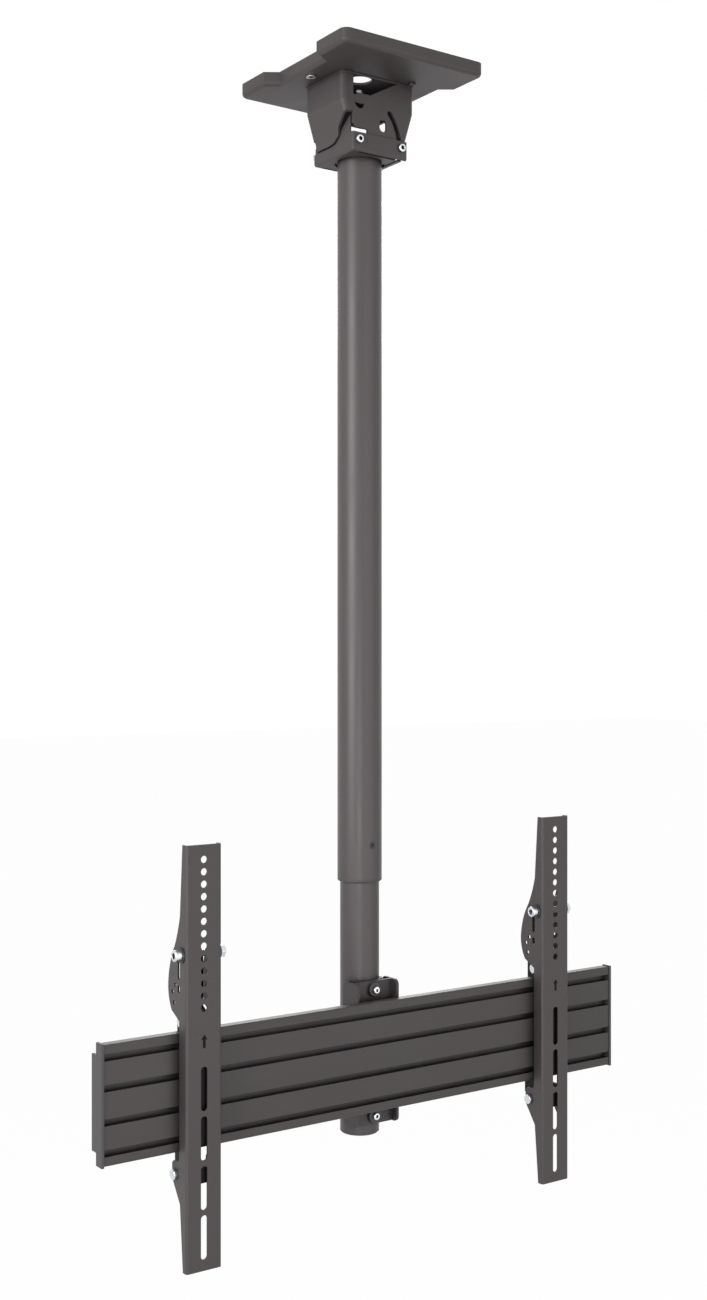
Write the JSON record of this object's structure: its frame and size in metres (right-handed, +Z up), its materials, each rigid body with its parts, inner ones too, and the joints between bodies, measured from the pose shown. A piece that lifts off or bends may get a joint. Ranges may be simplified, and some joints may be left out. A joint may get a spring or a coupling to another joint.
{
  "type": "tv ceiling mount",
  "caption": "Telescopic ceiling mount for a large screen: pressed plate, tilting and swivelling head, round pole, wide rail and upright arms that hook on.",
  "frame": {"origin": "middle of the ceiling plate's top face, on the pole's axis", "axes": "+Z up to the ceiling, -Y towards the screen, +X along the rail to the right of someone facing the screen"},
  "size_m": [0.685, 0.214, 1.275],
  "materials": {
    "charcoal_steel": "fine-textured satin powder coat, charcoal",
    "charcoal_extrusion": "extruded, charcoal coated, satin",
    "black_plastic": "moulded, fine grain",
    "bright_zinc": "bright zinc plate",
    "black_steel": "blackened, satin"
  },
  "bodies": {
    "ceiling": {"ceiling_plate": "charcoal_steel", "anchor_screws": "bright_zinc", "yoke": "charcoal_steel", "safety_bolt": "bright_zinc", "earth_screw": "black_steel"},
    "head": {"head_block": "charcoal_steel", "pivot_bolt": "bright_zinc", "pivot_nut": "bright_zinc", "slot_bolt": "bright_zinc", "slot_nut": "bright_zinc"},
    "upper_pole": {"outer_tube": "charcoal_steel", "pole_flange": "black_steel", "lock_screw": "black_steel", "guide_bush": "black_plastic"},
    "lower_pole": {"inner_tube": "charcoal_steel", "top_guide": "black_plastic", "end_ring": "black_plastic", "carrier_bracket": "charcoal_steel", "carrier_bosses": "black_steel", "carrier_bolts": "bright_zinc", "carrier_nuts": "bright_zinc", "rail_bolts": "bright_zinc", "nut_bars": "bright_zinc", "rail": "charcoal_extrusion", "end_cap_right": "black_plastic", "end_cap_left": "black_plastic"},
    "hook_right": {"hook_bracket_right": "charcoal_steel", "jaw_screw_right": "bright_zinc", "cross_bolt_right": "bright_zinc", "hinge_bolt_right": "bright_zinc", "hinge_nut_right": "bright_zinc", "hinge_spacers_right": "bright_zinc"},
    "screen_arm_right": {"arm_right": "charcoal_steel", "tilt_bolt_right": "bright_zinc", "tilt_nut_right": "bright_zinc", "tilt_washers_right": "black_steel"},
    "hook_left": {"hook_bracket_left": "charcoal_steel", "jaw_screw_left": "bright_zinc", "cross_bolt_left": "bright_zinc", "hinge_bolt_left": "bright_zinc", "hinge_nut_left": "bright_zinc", "hinge_spacers_left": "bright_zinc"},
    "screen_arm_left": {"arm_left": "charcoal_steel", "tilt_bolt_left": "bright_zinc", "tilt_nut_left": "bright_zinc", "tilt_washers_left": "black_steel"}
  },
  "joints": [
    {"name": "head_tilt", "type": "hinge", "parent": "ceiling", "child": "head", "pos_m": [-0.0286, 0, -0.088], "axis": [0, -1, 0], "range_deg": [0, 40]},
    {"name": "pole_swivel", "type": "hinge", "parent": "head", "child": "upper_pole", "pos_m": [0, 0, -0.097], "axis": [0, 0, 1], "range_deg": [-90, 90]},
    {"name": "pole_slide", "type": "slide", "parent": "upper_pole", "child": "lower_pole", "axis": [0, 0, -1], "range_m": [-0.1, 0.5]},
    {"name": "right_arm_slide", "type": "slide", "parent": "lower_pole", "child": "hook_right", "axis": [1, 0, 0], "range_m": [-0.136, 0.0636]},
    {"name": "right_screen_tilt", "type": "hinge", "parent": "hook_right", "child": "screen_arm_right", "pos_m": [0.23635, -0.0421, -1.1795], "axis": [1, 0, 0], "range_deg": [0, 5]},
    {"name": "left_arm_slide", "type": "slide", "parent": "lower_pole", "child": "hook_left", "axis": [1, 0, 0], "range_m": [-0.0636, 0.136]},
    {"name": "left_screen_tilt", "type": "hinge", "parent": "hook_left", "child": "screen_arm_left", "pos_m": [-0.23635, -0.0421, -1.1795], "axis": [1, 0, 0], "range_deg": [0, 5]}
  ]
}
